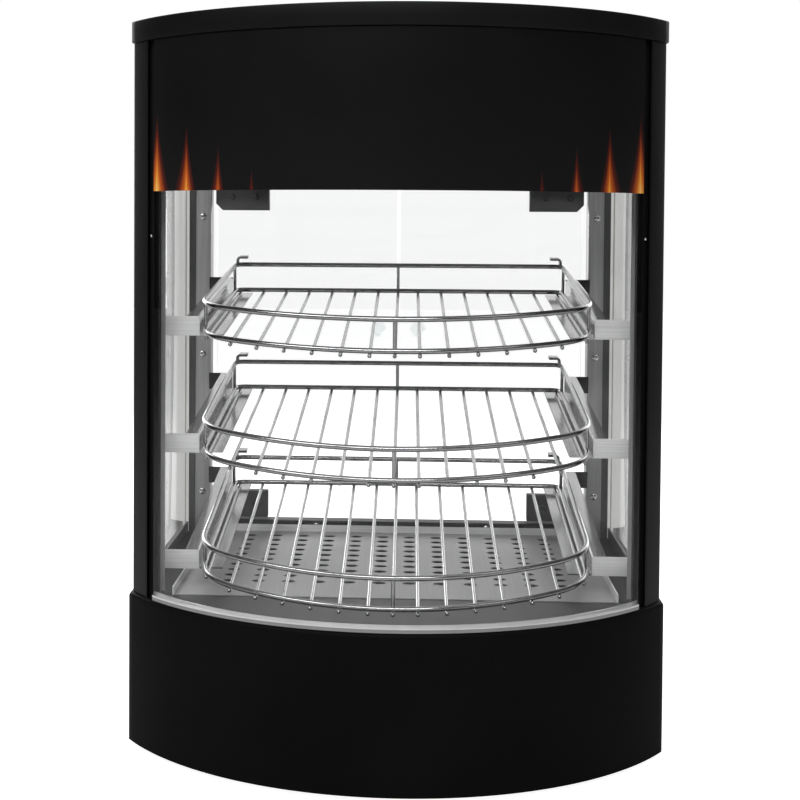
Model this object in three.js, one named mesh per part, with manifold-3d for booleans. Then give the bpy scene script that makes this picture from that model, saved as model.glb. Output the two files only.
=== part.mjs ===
// Heated counter-top display case with a bowed front window, three lift-out wire baskets
// and a pair of glass doors at the back. Millimetres, +Z up, the window faces -Y.
import * as THREE from 'three';
import { mergeVertices } from 'three/addons/utils/BufferGeometryUtils.js';
import Module from 'manifold-3d';

const wasm = await Module();
wasm.setup();

// ---- driving dimensions ------------------------------------------------------------------
const GAP = 0.3;                 // assembly clearance between touching pieces
const FRONT_Y = -191;            // foremost point of the base
const REAR_Y = 175;              // back face of the case
const BOW_RADIUS = 232.2;        // outer radius of the bowed front panels
const BODY_HALF = 197;           // half width over the corner posts
const BASE_PROUD = 3;            // how far the base stands outside the posts
const LID_PROUD = 1.7;           // how far the lid overhangs the posts
const BOW_CENTRE_Y = FRONT_Y + BASE_PROUD + BOW_RADIUS;

const SKIRT_Z = 4;               // lower edge of the base skirt, above the counter
const BASE_TOP = 117;
const HEADER_Z = 419;            // lower edge of the header panel
const LID_Z = 530;
const LID_TOP = 546;
const BODY_TOP = LID_Z - GAP;

const SHEET = 1.5;               // sheet metal
const GLASS = 4;
const WINDOW_RADIUS = 230.5;     // outer radius of the front window
const WINDOW_HALF = 178;         // half width of the front window and header
const POST_INNER = 183.3;        // inner edge of a front post's face
const SIDE_GLASS_X = 189.7;      // inner face of a side glass
const UPRIGHT_X = 168;           // inner face of a rear upright
const UPRIGHT_Y = 157;           // front face of the rear uprights

const DECK_CHORD_Y = -94;        // straight rear edge of the front deck
const FLOOR_TOP = 119;
const FLOOR_HALF = 165;
const SILL_TOP = 128.5;
const DOOR_Z = 131;
const DOOR_TOP = 430;
const TOP_RAIL_Z = 433;

// Each shelf: the height of its bottom rail at y = 0, and how far it leans down to the window.
const LEVELS = [
  { name: 'lower', z: 148.4, tilt: THREE.MathUtils.degToRad(7.2) },
  { name: 'middle', z: 235.6, tilt: THREE.MathUtils.degToRad(6.2) },
  { name: 'upper', z: 323.5, tilt: THREE.MathUtils.degToRad(5.44) },
];
const SIDES = [['left', -1], ['right', 1]];

const RAIL_R = 2;                // basket rail wire
const RUNG_R = 1.4;              // basket cross wire
const BASKET_HALF = 145;
const BASKET_REAR = 142;
const BASKET_FRONT = -167;
const RAIL_RISE = 22.5;          // top rail above bottom rail
const RUNG_SIDE = 7;             // cross wires each side of the middle one
const RUNG_FIRST = 17.5;
const RUNG_PITCH = 20.3;
const BRACKET_X = 149;           // web of a shelf support

const DOOR_AXIS = [158, 169];    // door pivot, x and y
const PIN_R = 2.5;
const CLAMP = { w: 48, d: 9, h: 24 };

const PANEL_Y = REAR_Y + GAP;    // control panel's inner face
const CONTROL_Z = 62;
const KNOB_X = 70;
const SWITCH_X = { power: 0, light: -42 };
const ROCK = THREE.MathUtils.degToRad(8);      // each rocker rests this far off level
const ROCKER_Y = PANEL_Y + 3.2;
const PILOT_X = -78;
const GLAND_X = -118;

// ---- materials ---------------------------------------------------------------------------
const finish = (color, roughness, metalness, extra = {}) =>
  new THREE.MeshStandardMaterial({ color, roughness, metalness, ...extra });
const BLACK = finish(0x141415, 0.45, 0.1);
const STEEL = finish(0xa9abad, 0.3, 1);
const CHROME = finish(0xd8dadc, 0.1, 1);
const GREY = finish(0x565758, 0.5, 0.6);
const RUBBER = finish(0x101010, 0.9, 0);
const PLASTIC = finish(0x0e0e0e, 0.4, 0);
const CERAMIC = finish(0xe8e4da, 0.5, 0);
const AMBER = finish(0xff8a2a, 0.25, 0);
const CLEAR = finish(0xeef4f4, 0.03, 0, { transparent: true, opacity: 0.2 });

// ---- solid helpers -----------------------------------------------------------------------
function toSolid(geometry) {
  const bare = geometry.clone();
  bare.deleteAttribute('normal');
  bare.deleteAttribute('uv');
  const merged = mergeVertices(bare, 1e-4);
  return new wasm.Manifold(new wasm.Mesh({
    numProp: 3,
    vertProperties: Float32Array.from(merged.attributes.position.array),
    triVerts: Uint32Array.from(merged.index.array),
  }));
}

function toGeometry(solid) {
  const mesh = solid.getMesh();
  const geometry = new THREE.BufferGeometry();
  geometry.setAttribute('position', new THREE.BufferAttribute(mesh.vertProperties, 3));
  geometry.setIndex(new THREE.BufferAttribute(mesh.triVerts, 1));
  return geometry;
}

const join = (...parts) => toGeometry(parts.map(toSolid).reduce((a, b) => a.add(b)));
const cut = (part, ...tools) =>
  toGeometry(tools.map(toSolid).reduce((a, b) => a.subtract(b), toSolid(part)));

// A box given by its lowest and highest corners.
function block(x0, y0, z0, x1, y1, z1) {
  const geometry = new THREE.BoxGeometry(x1 - x0, y1 - y0, z1 - z0);
  return geometry.translate((x0 + x1) / 2, (y0 + y1) / 2, (z0 + z1) / 2);
}

// A plan outline raised from z0 to z1.
function slab(shape, z0, z1, curveSegments = 24) {
  const options = { depth: z1 - z0, bevelEnabled: false, curveSegments };
  return new THREE.ExtrudeGeometry(shape, options).translate(0, 0, z0);
}

// A turned solid: profile points are [radius, height], standing along +Z.
function turned(profile, segments = 16) {
  const points = profile.map(([r, z]) => new THREE.Vector2(r, z));
  return new THREE.LatheGeometry(points, segments).rotateX(Math.PI / 2);
}

const rod = (r, z0, z1, sides = 12) => turned([[0, z0], [r, z0], [r, z1], [0, z1]], sides);
const pointing = (geometry, x, y, z) => geometry.rotateX(-Math.PI / 2).translate(x, y, z);

// A round wire along a curve.
function wire(curve, radius, steps, sides = 6) {
  const section = new THREE.Shape();
  for (let i = 0; i < sides; i += 1) {
    const a = (i / sides) * 2 * Math.PI;
    section[i ? 'lineTo' : 'moveTo'](radius * Math.cos(a), radius * Math.sin(a));
  }
  return new THREE.ExtrudeGeometry(section, { steps, bevelEnabled: false, extrudePath: curve });
}

const vec = (x, y, z) => new THREE.Vector3(x, y, z);
const straight = (a, b, radius, sides = 6) =>
  wire(new THREE.LineCurve3(vec(...a), vec(...b)), radius, 1, sides);

// ---- plan outlines -----------------------------------------------------------------------
const bowY = (x, radius) => BOW_CENTRE_Y - Math.sqrt(radius * radius - x * x);

// Bowed front, straight sides, straight back.
function casePlan(half, radius, rear) {
  const angle = Math.asin(half / radius);
  const shape = new THREE.Shape();
  shape.absarc(0, BOW_CENTRE_Y, radius, -Math.PI / 2 - angle, -Math.PI / 2 + angle, false);
  shape.lineTo(half, rear);
  shape.lineTo(-half, rear);
  return shape;
}

// A strip that follows the bow between two radii.
function bowStrip(outer, inner, half) {
  const a = Math.asin(half / outer);
  const b = Math.asin(half / inner);
  const shape = new THREE.Shape();
  shape.absarc(0, BOW_CENTRE_Y, outer, -Math.PI / 2 - a, -Math.PI / 2 + a, false);
  shape.absarc(0, BOW_CENTRE_Y, inner, -Math.PI / 2 + b, -Math.PI / 2 - b, true);
  return shape;
}

// ---- base --------------------------------------------------------------------------------
const SHOULDER = 3;
const baseRadius = BOW_RADIUS + BASE_PROUD;
const baseHalf = BODY_HALF + BASE_PROUD;

function baseShell() {
  const bevel = {
    depth: BASE_TOP - 2 * SHOULDER, bevelThickness: SHOULDER, bevelSize: SHOULDER,
    bevelOffset: -SHOULDER, bevelSegments: 2, curveSegments: 24,
  };
  const outer = new THREE.ExtrudeGeometry(casePlan(baseHalf, baseRadius, REAR_Y), bevel);
  outer.translate(0, 0, SHOULDER);
  const wall = SHEET;
  const cavityPlan = casePlan(baseHalf - wall, baseRadius - wall, REAR_Y - wall);
  const inner = slab(cavityPlan, -1, BASE_TOP - wall);
  const below = block(-260, -260, -1, 260, 260, SKIRT_Z);
  const well = block(-155, -78, 100, 155, 140, 130);
  const shaft = pointing(rod(4.5, -5, 10), KNOB_X, REAR_Y - SHEET, CONTROL_Z);
  const switches = block(SWITCH_X.light - 10, 160, CONTROL_Z - 7, SWITCH_X.power + 10, 180, CONTROL_Z + 7);
  const cord = pointing(rod(7, -5, 10), GLAND_X, REAR_Y - SHEET, CONTROL_Z);
  const pilot = pointing(rod(4.5, -5, 10), PILOT_X, REAR_Y - SHEET, CONTROL_Z);
  return cut(outer, inner, below, well, shaft, switches, cord, pilot);
}

function bottomPlate() {
  const inset = SHEET + GAP;
  return slab(casePlan(baseHalf - inset, baseRadius - inset, REAR_Y - inset), SKIRT_Z + 2, SKIRT_Z + 3.5);
}

function foot(x, y) {
  return turned([[0, 0], [9, 0], [11, 2], [11, SKIRT_Z + 2 - GAP], [0, SKIRT_Z + 2 - GAP]])
    .translate(x, y, 0);
}

function frontDeck() {
  const radius = 225.2;
  const half = 177;
  const angle = Math.asin(half / radius);
  const shape = new THREE.Shape();
  shape.absarc(0, BOW_CENTRE_Y, radius, -Math.PI / 2 - angle, -Math.PI / 2 + angle, false);
  shape.lineTo(half, DECK_CHORD_Y);
  shape.lineTo(-half, DECK_CHORD_Y);
  return slab(shape, BASE_TOP + GAP, FLOOR_TOP - 0.5);
}

// Tray with turned-up sides and back; the air holes are drilled over the heater.
function floorPlate() {
  const front = DECK_CHORD_Y + GAP;
  const rear = UPRIGHT_Y - GAP;
  const plate = block(-FLOOR_HALF, front, FLOOR_TOP - 1.2, FLOOR_HALF, rear, FLOOR_TOP);
  const left = block(-FLOOR_HALF, front, FLOOR_TOP - 1.2, -FLOOR_HALF + 1.2, rear, FLOOR_TOP + 6);
  const right = block(FLOOR_HALF - 1.2, front, FLOOR_TOP - 1.2, FLOOR_HALF, rear, FLOOR_TOP + 6);
  const back = block(-FLOOR_HALF, rear - 1.2, FLOOR_TOP - 1.2, FLOOR_HALF, rear, FLOOR_TOP + 6);
  return join(plate, left, right, back);
}

// Sheathed element bent into a W, with its two tails at the back.
function heatingElement() {
  const z = 104;
  const points = [[-110, 120], [-110, -20], [-85, -45], [-60, -20], [-60, 70], [-35, 95], [-10, 70],
    [-10, -20], [15, -45], [40, -20], [40, 70], [65, 95], [90, 70], [90, -20], [110, -20], [110, 120]];
  const route = new THREE.CatmullRomCurve3(points.map(([x, y]) => vec(x, y, z)), false, 'centripetal');
  return wire(route, 4, 44, 6);
}

function heatShield() {
  const z = 92;
  const tray = block(-150, -74, z, 150, 136, z + 20);
  return cut(tray, block(-149, -73, z + 1, 149, 135, z + 30));
}

const elementClip = (y) => join(
  block(-125, y - 4, 93 + GAP, 125, y + 4, 95),
  block(-125, y - 4, 93 + GAP, -123, y + 4, 99),
  block(123, y - 4, 93 + GAP, 125, y + 4, 99),
);

// ---- window, header and lid --------------------------------------------------------------
function glassChannel() {
  const channel = slab(bowStrip(233.5, 225.5, WINDOW_HALF), BASE_TOP + GAP, BASE_TOP + 4.3);
  return cut(channel, slab(bowStrip(WINDOW_RADIUS + GAP, WINDOW_RADIUS - GLASS - GAP, 182), BASE_TOP + 1.8, 140));
}

const frontGlass = () =>
  slab(bowStrip(WINDOW_RADIUS, WINDOW_RADIUS - GLASS, WINDOW_HALF), BASE_TOP + 1.8 + GAP, BODY_TOP);
const headerPanel = () =>
  slab(bowStrip(BOW_RADIUS, WINDOW_RADIUS + GAP, WINDOW_HALF), HEADER_Z, BODY_TOP);

function lid() {
  const plan = (inset) =>
    casePlan(BODY_HALF + LID_PROUD - inset, BOW_RADIUS + LID_PROUD - inset, REAR_Y + LID_PROUD - inset);
  const hem = LID_PROUD + SHEET + 4;
  return cut(slab(plan(0), LID_Z, LID_TOP), slab(plan(hem), LID_Z - 1, LID_TOP - SHEET));
}

function ceilingPanel() {
  const plate = slab(casePlan(177, 225.5, UPRIGHT_Y - GAP), 518, 519.5, 20);
  return cut(plate, rod(17, 500, 530, 16).translate(0, -40, 0));
}

const lampHolder = () =>
  turned([[0, 500], [14, 500], [16, 506], [16, 526], [0, 526]]).translate(0, -40, 0);
const lampBulb = () => turned([[0, 452], [9, 454], [15, 463], [15.5, 472], [12, 484], [8, 492],
  [7, 500 - GAP], [0, 500 - GAP]], 14).translate(0, -40, 0);

// ---- posts, side glass and back frame ----------------------------------------------------
function outline(points, side) {
  const shape = new THREE.Shape(points.map(([x, y]) => new THREE.Vector2(side * x, y)));
  return shape;
}

// Corner post: bowed face, stepped gasket seat and a lip that laps the side glass.
function frontPost(side) {
  const seat = WINDOW_RADIUS - 1.5;
  const points = [];
  for (let i = 0; i <= 3; i += 1) {
    const x = BODY_HALF + (POST_INNER - BODY_HALF) * (i / 3);
    points.push([x, bowY(x, BOW_RADIUS)]);
  }
  points.push([POST_INNER, bowY(POST_INNER, seat)], [WINDOW_HALF + GAP, bowY(WINDOW_HALF, seat)]);
  points.push([WINDOW_HALF + GAP, -88], [186, -77], [186, -66], [194, -66], [194, -54], [BODY_HALF, -54]);
  return slab(outline(points, side), BASE_TOP + GAP, BODY_TOP);
}

const sideGlass = (side) => slab(outline([[SIDE_GLASS_X, -65], [SIDE_GLASS_X + GLASS, -65],
  [SIDE_GLASS_X + GLASS, UPRIGHT_Y - GAP], [SIDE_GLASS_X, UPRIGHT_Y - GAP]], side), BASE_TOP + GAP, BODY_TOP);

const rearPost = (side) => slab(outline([[BODY_HALF, 145], [BODY_HALF, REAR_Y], [UPRIGHT_X, REAR_Y],
  [UPRIGHT_X, REAR_Y - SHEET], [194, REAR_Y - SHEET], [194, 145]], side), BASE_TOP + GAP, BODY_TOP);

const rearUpright = (side) => slab(outline([[UPRIGHT_X, UPRIGHT_Y], [191, UPRIGHT_Y],
  [191, UPRIGHT_Y + SHEET], [UPRIGHT_X + SHEET, UPRIGHT_Y + SHEET], [UPRIGHT_X + SHEET, REAR_Y - SHEET - GAP],
  [UPRIGHT_X, REAR_Y - SHEET - GAP]], side), BASE_TOP + GAP, BODY_TOP);

const pivotHole = (side, z0, z1) =>
  rod(4.8, z0, z1, 12).translate(side * DOOR_AXIS[0], DOOR_AXIS[1], 0);

function rearSill() {
  const bar = block(-UPRIGHT_X + GAP, UPRIGHT_Y + GAP, BASE_TOP + GAP, UPRIGHT_X - GAP, REAR_Y - SHEET - GAP, SILL_TOP);
  const hollow = block(-150, UPRIGHT_Y + SHEET + GAP, 110, 150, REAR_Y - 3.5, SILL_TOP - SHEET);
  return cut(bar, hollow, pivotHole(-1, 120, 140), pivotHole(1, 120, 140));
}

function rearTopRail() {
  const x = UPRIGHT_X - GAP;
  const y = REAR_Y - SHEET - GAP;
  const flange = block(-x, UPRIGHT_Y + GAP, TOP_RAIL_Z, x, y, TOP_RAIL_Z + 8);
  const web = block(-x, y - SHEET, TOP_RAIL_Z, x, y, BODY_TOP);
  const hollow = block(-150, UPRIGHT_Y + 2, TOP_RAIL_Z + SHEET, 150, y - SHEET, TOP_RAIL_Z + 20);
  return cut(join(flange, web), hollow, pivotHole(-1, 430, TOP_RAIL_Z + 7), pivotHole(1, 430, TOP_RAIL_Z + 7));
}

function pivotBush(side, z0, z1) {
  const profile = [[PIN_R + GAP, z0], [4.5, z0], [4.5, z1], [PIN_R + GAP, z1], [PIN_R + GAP, z0]];
  return turned(profile, 12).translate(side * DOOR_AXIS[0], DOOR_AXIS[1], 0);
}

// ---- doors -------------------------------------------------------------------------------
const DOOR_EDGE = 163.5;
const MEETING_EDGE = 1;
const mirrorX = (x0, x1, side) => (side < 0 ? [-x1, -x0] : [x0, x1]);

function doorGlass(side) {
  const [x0, x1] = mirrorX(MEETING_EDGE, DOOR_EDGE, side);
  return block(x0, DOOR_AXIS[1] - GLASS / 2, DOOR_Z, x1, DOOR_AXIS[1] + GLASS / 2, DOOR_TOP);
}

// Clamp that grips a corner of the glass and carries the pivot pin.
function doorClamp(side, top) {
  const [x0, x1] = mirrorX(DOOR_EDGE - CLAMP.w + 1, DOOR_EDGE + 1, side);
  const y = DOOR_AXIS[1];
  const z0 = top ? DOOR_TOP + 1.2 - CLAMP.h : DOOR_Z - 1.2;
  const body = block(x0, y - CLAMP.d / 2, z0, x1, y + CLAMP.d / 2, z0 + CLAMP.h);
  const [g0, g1] = mirrorX(MEETING_EDGE, DOOR_EDGE + GAP, side);
  const slot = block(g0, y - GLASS / 2 - GAP, DOOR_Z - GAP, g1, y + GLASS / 2 + GAP, DOOR_TOP + GAP);
  const reach = 5.5;
  const pin = top ? rod(PIN_R, z0 + CLAMP.h - 0.2, z0 + CLAMP.h + reach) : rod(PIN_R, z0 - reach, z0 + 0.2);
  return join(cut(body, slot), pin.translate(side * DOOR_AXIS[0], y, 0));
}

const doorKnob = (side) => pointing(turned([[0, 0], [5, 0], [4.5, 5], [7, 9], [7, 13], [0, 14]], 14),
  side * 18, DOOR_AXIS[1] + GLASS / 2 + GAP, 300);

// ---- shelves -----------------------------------------------------------------------------
// Everything on a shelf is drawn level, about its own origin, and tilted when it is placed.
function shelfSupport(side) {
  const bar = (a, b, y0, y1, z0, z1) => {
    const [x0, x1] = mirrorX(a, b, side);
    return block(x0, y0, z0, x1, y1, z1);
  };
  const front = -73;
  const rear = 156;
  const t = 1.2;
  return join(
    bar(BRACKET_X - t, BRACKET_X, front, rear, -5.9, 9),
    bar(130, BRACKET_X, front, rear, -5.9, -5.9 + t),
    bar(BRACKET_X - t, BRACKET_X + 9, front, rear, 9 - t, 9),
    bar(BRACKET_X - t, 177, front, front + t, -5.9, 9),
    bar(BRACKET_X - t, UPRIGHT_X + 6, rear - t, rear, -5.9, 9),
  );
}

// One half of a basket rail: back middle, side, rounded corner, bowed front.
function railHalf(side, z) {
  const r = RAIL_R;
  const half = BASKET_HALF - r;
  const rear = BASKET_REAR - r;
  const corner = 9;
  const path = new THREE.CurvePath();
  const line = (a, b) => path.add(new THREE.LineCurve3(vec(side * a[0], a[1], z), vec(side * b[0], b[1], z)));
  const bend = (a, m, n, b) => path.add(new THREE.CubicBezierCurve3(
    vec(side * a[0], a[1], z), vec(side * m[0], m[1], z), vec(side * n[0], n[1], z), vec(side * b[0], b[1], z)));
  line([-0.5, rear], [half - corner, rear]);
  bend([half - corner, rear], [half - 3, rear], [half, rear - 3], [half, rear - corner]);
  line([half, rear - corner], [half, -72]);
  bend([half, -72], [half, -96], [134, -112], [118, -124]);
  bend([118, -124], [88, -146], [46, BASKET_FRONT + r], [-0.5, BASKET_FRONT + r]);
  return wire(path, r, 26);
}

const frontRailY = (x) => {
  const t = x / 100;
  return BASKET_FRONT + RAIL_R + 24.4 * t * t + 4.6 * t ** 4;
};

function basketGrate() {
  const parts = [railHalf(-1, 0), railHalf(1, 0)];
  const z = -(RAIL_R + RUNG_R) + 0.35;
  for (let i = -RUNG_SIDE; i <= RUNG_SIDE; i += 1) {
    const x = i === 0 ? 0 : Math.sign(i) * (RUNG_FIRST + (Math.abs(i) - 1) * RUNG_PITCH);
    const front = Math.abs(x) > 130 ? -94 : frontRailY(x) - 3;
    parts.push(straight([x, front, z], [x, BASKET_REAR - 0.8, z], RUNG_R));
  }
  return join(...parts);
}

function basketGuard() {
  const parts = [railHalf(-1, RAIL_RISE), railHalf(1, RAIL_RISE)];
  const low = RAIL_R + GAP;
  const stay = (x, y) => parts.push(straight([x, y, low], [x, y, RAIL_RISE], RUNG_R));
  stay(0, BASKET_FRONT + RAIL_R);
  stay(0, BASKET_REAR - RAIL_R);
  for (const [, side] of SIDES) {
    const x = side * (BASKET_HALF - RAIL_R);
    stay(x, BASKET_REAR - 14);
    stay(x, -74);
    const tabX = side * (BASKET_HALF - 4);
    const inner = tabX - side * 9;
    parts.push(block(Math.min(tabX, tabX - side * 1.5), BASKET_REAR - 9, RAIL_RISE - 1,
      Math.max(tabX, tabX - side * 1.5), BASKET_REAR - 2, RAIL_RISE + 8));
    parts.push(block(Math.min(tabX, inner), BASKET_REAR - 9, RAIL_RISE + 6.5,
      Math.max(tabX, inner), BASKET_REAR - 2, RAIL_RISE + 8));
  }
  return join(...parts);
}

// ---- controls on the back of the base ----------------------------------------------------
function controlPanel() {
  const plate = block(-140, PANEL_Y, 26, 100, PANEL_Y + SHEET, 98);
  const bezel = (x) => block(x - 9, PANEL_Y, CONTROL_Z - 12.5, x + 9, PANEL_Y + 4, CONTROL_Z + 12.5);
  const well = (x) => block(x - 6.8, PANEL_Y - 5, CONTROL_Z - 10.3, x + 6.8, PANEL_Y + 9, CONTROL_Z + 10.3);
  return cut(
    join(plate, bezel(SWITCH_X.power), bezel(SWITCH_X.light)),
    well(SWITCH_X.power),
    well(SWITCH_X.light),
    pointing(rod(4.5, -5, 10), KNOB_X, PANEL_Y, CONTROL_Z),
    pointing(rod(4.5, -5, 10), PILOT_X, PANEL_Y, CONTROL_Z),
    pointing(rod(7, -5, 10), GLAND_X, PANEL_Y, CONTROL_Z),
  );
}

// Rocker drawn with its off end pressed in; it turns about its middle.
function rocker(x) {
  const profile = new THREE.Shape();
  profile.moveTo(-9, 0);
  profile.lineTo(9, 0);
  profile.lineTo(9, 4.2);
  profile.lineTo(0, 2.6);
  profile.lineTo(-9, 4.2);
  const body = new THREE.ExtrudeGeometry(profile, { depth: 12.4, bevelEnabled: false });
  body.rotateY(Math.PI / 2).rotateX(Math.PI / 2);
  const centred = new THREE.Box3().setFromBufferAttribute(body.attributes.position).getCenter(vec(0, 0, 0));
  body.translate(-centred.x, -centred.y, -centred.z);
  return body.rotateX(-ROCK).translate(x, ROCKER_Y, CONTROL_Z);
}
const thermostatKnob = () => pointing(cut(
  turned([[0, 0], [17, 0], [17, 4], [14, 6], [13, 191 - PANEL_Y - SHEET - GAP], [0, 191 - PANEL_Y - SHEET - GAP]], 24),
  rod(3.3, -1, 9),
), KNOB_X, PANEL_Y + SHEET + GAP, CONTROL_Z);

const thermostatBody = () => join(
  block(KNOB_X - 20, 145, CONTROL_Z - 20, KNOB_X + 20, REAR_Y - SHEET - GAP, CONTROL_Z + 20),
  pointing(rod(3, -1, 12), KNOB_X, REAR_Y - SHEET, CONTROL_Z),
);

const pilotLamp = () => pointing(turned([[0, -8], [4, -8], [4, SHEET + GAP], [6, SHEET + GAP], [6, 3], [4, 5.5],
  [0, 6.2]]), PILOT_X, PANEL_Y, CONTROL_Z);

const cordGland = () => pointing(turned([[3.6, -12], [6.5, -12], [6.5, SHEET + GAP], [10, SHEET + GAP], [10, 5],
  [7.5, 12], [3.6, 13], [3.6, -12]]), GLAND_X, PANEL_Y, CONTROL_Z);

// ---- assembly ----------------------------------------------------------------------------
const displayCase = new THREE.Group();

function place(name, geometry, material, parent = displayCase) {
  const mesh = new THREE.Mesh(geometry, material);
  mesh.name = name;
  parent.add(mesh);
}

place('base_shell', baseShell(), BLACK);
place('bottom_plate', bottomPlate(), GREY);
for (const [endName, y] of [['front', -90], ['rear', 145]]) {
  for (const [sideName, side] of SIDES) place(`foot_${endName}_${sideName}`, foot(side * 150, y), RUBBER);
}
place('front_deck', frontDeck(), GREY);
place('floor_plate', floorPlate(), STEEL);
place('heating_element', heatingElement(), GREY);
place('heat_shield', heatShield(), STEEL);
place('element_clip_front', elementClip(0), STEEL);
place('element_clip_rear', elementClip(60), STEEL);
place('glass_channel', glassChannel(), CHROME);
place('front_glass', frontGlass(), CLEAR);
place('header_panel', headerPanel(), BLACK);
place('lid', lid(), BLACK);
place('ceiling_panel', ceilingPanel(), STEEL);
place('lamp_holder', lampHolder(), CERAMIC);
place('lamp_bulb', lampBulb(), CLEAR);
place('rear_sill', rearSill(), STEEL);
place('rear_top_rail', rearTopRail(), BLACK);

for (const [sideName, side] of SIDES) {
  place(`front_post_${sideName}`, frontPost(side), BLACK);
  place(`side_glass_${sideName}`, sideGlass(side), CLEAR);
  place(`rear_post_${sideName}`, rearPost(side), BLACK);
  place(`rear_upright_${sideName}`, rearUpright(side), STEEL);
  place(`pivot_bush_${sideName}_lower`, pivotBush(side, 121, SILL_TOP), RUBBER);
  place(`pivot_bush_${sideName}_upper`, pivotBush(side, TOP_RAIL_Z, TOP_RAIL_Z + 6.5), RUBBER);
  place(`door_glass_${sideName}`, doorGlass(side), CLEAR);
  place(`door_clamp_${sideName}_lower`, doorClamp(side, false), GREY);
  place(`door_clamp_${sideName}_upper`, doorClamp(side, true), GREY);
  place(`door_knob_${sideName}`, doorKnob(side), CLEAR);
}

for (const { name: level, z, tilt } of LEVELS) {
  const shelf = new THREE.Group();
  shelf.position.z = z;
  shelf.rotation.x = tilt;
  displayCase.add(shelf);
  for (const [sideName, side] of SIDES) {
    place(`shelf_support_${level}_${sideName}`, shelfSupport(side), STEEL, shelf);
  }
  place(`basket_${level}_grate`, basketGrate(), CHROME, shelf);
  place(`basket_${level}_guard`, basketGuard(), CHROME, shelf);
}

place('control_panel', controlPanel(), BLACK);
place('thermostat_knob', thermostatKnob(), PLASTIC);
place('thermostat_body', thermostatBody(), PLASTIC);
place('power_rocker', rocker(SWITCH_X.power), PLASTIC);
place('light_rocker', rocker(SWITCH_X.light), PLASTIC);
place('pilot_lamp', pilotLamp(), AMBER);
place('cord_gland', cordGland(), RUBBER);

export default displayCase;
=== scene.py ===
"""Looks for a heated counter-top display case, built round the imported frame. Metres, +Z up, window at -Y."""
import math

import bmesh
import bpy
from mathutils import Matrix, Vector


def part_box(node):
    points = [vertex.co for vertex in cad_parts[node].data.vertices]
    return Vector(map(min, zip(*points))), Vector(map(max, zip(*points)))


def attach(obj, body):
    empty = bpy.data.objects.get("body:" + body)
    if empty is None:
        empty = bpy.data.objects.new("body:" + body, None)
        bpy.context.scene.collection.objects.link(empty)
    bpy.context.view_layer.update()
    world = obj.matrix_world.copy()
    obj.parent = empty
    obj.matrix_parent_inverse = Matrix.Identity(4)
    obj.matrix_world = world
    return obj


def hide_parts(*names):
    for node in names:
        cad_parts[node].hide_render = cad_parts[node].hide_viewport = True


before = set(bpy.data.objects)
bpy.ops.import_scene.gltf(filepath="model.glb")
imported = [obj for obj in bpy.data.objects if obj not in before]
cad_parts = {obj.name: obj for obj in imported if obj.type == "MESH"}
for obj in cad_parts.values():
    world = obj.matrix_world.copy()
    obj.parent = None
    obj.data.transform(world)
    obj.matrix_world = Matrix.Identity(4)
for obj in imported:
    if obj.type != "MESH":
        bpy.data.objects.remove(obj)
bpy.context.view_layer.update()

MM = 0.001
SIDES = (("left", -1), ("right", 1))
LEVELS = ("lower", "middle", "upper")

# ---- places taken from the frame ---------------------------------------------------------
BASE_LO, BASE_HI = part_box("base_shell")
HEADER_LO, HEADER_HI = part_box("header_panel")
GLASS_LO, GLASS_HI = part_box("front_glass")
CHANNEL_LO, CHANNEL_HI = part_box("glass_channel")
LID_LO, LID_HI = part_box("lid")
FLOOR_LO, FLOOR_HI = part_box("floor_plate")
DECK_LO, DECK_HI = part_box("front_deck")
SILL_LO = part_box("rear_sill")[0]
RAIL_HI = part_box("rear_top_rail")[1]
PANEL_LO, PANEL_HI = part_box("control_panel")
KNOB_LO, KNOB_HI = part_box("thermostat_knob")

BOW_R = 232.2 * MM                       # outer radius of the header panel
BOW_Y = HEADER_LO.y + BOW_R              # the axis of every bowed part
BASE_R = BOW_Y - BASE_LO.y
LID_R = BOW_Y - LID_LO.y
GLASS_R = BOW_Y - GLASS_LO.y
ARC_STEPS = 72

TILTS = {"lower": 7.2, "middle": 6.2, "upper": 5.44}     # degrees down towards the window
RAIL_R = 2.0 * MM
RUNG_R = 1.4 * MM
RUNG_X = [0.0] + [side * (17.5 + 20.3 * k) * MM for side in (-1, 1) for k in range(7)]
RAIL_RISE = 22.5 * MM
BASKET_HALF = 145 * MM
BASKET_REAR = 142 * MM
BASKET_FRONT = -167 * MM


# ---- shader building ---------------------------------------------------------------------
class Value:
    """A shader socket that can stand in a formula."""

    def __init__(self, shader, socket):
        self.shader = shader
        self.socket = socket

    def math(self, operation, *others, clamp=False):
        settings = {"operation": operation, "use_clamp": clamp}
        return self.shader.node("ShaderNodeMath", settings, inputs=[self, *others])

    def __add__(self, other):
        return self.math("ADD", other)

    __radd__ = __add__

    def __sub__(self, other):
        return self.math("SUBTRACT", other)

    def __rsub__(self, other):
        return (self * -1.0) + other

    def __mul__(self, other):
        return self.math("MULTIPLY", other)

    __rmul__ = __mul__

    def __truediv__(self, other):
        return self.math("DIVIDE", other)

    def __pow__(self, other):
        return self.math("POWER", other)

    def between(self, low, high):
        """0 below low, 1 above high, smooth in between."""
        settings = {"interpolation_type": "SMOOTHSTEP"}
        return self.shader.node("ShaderNodeMapRange", settings, inputs=[self, low, high, 0.0, 1.0])


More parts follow.
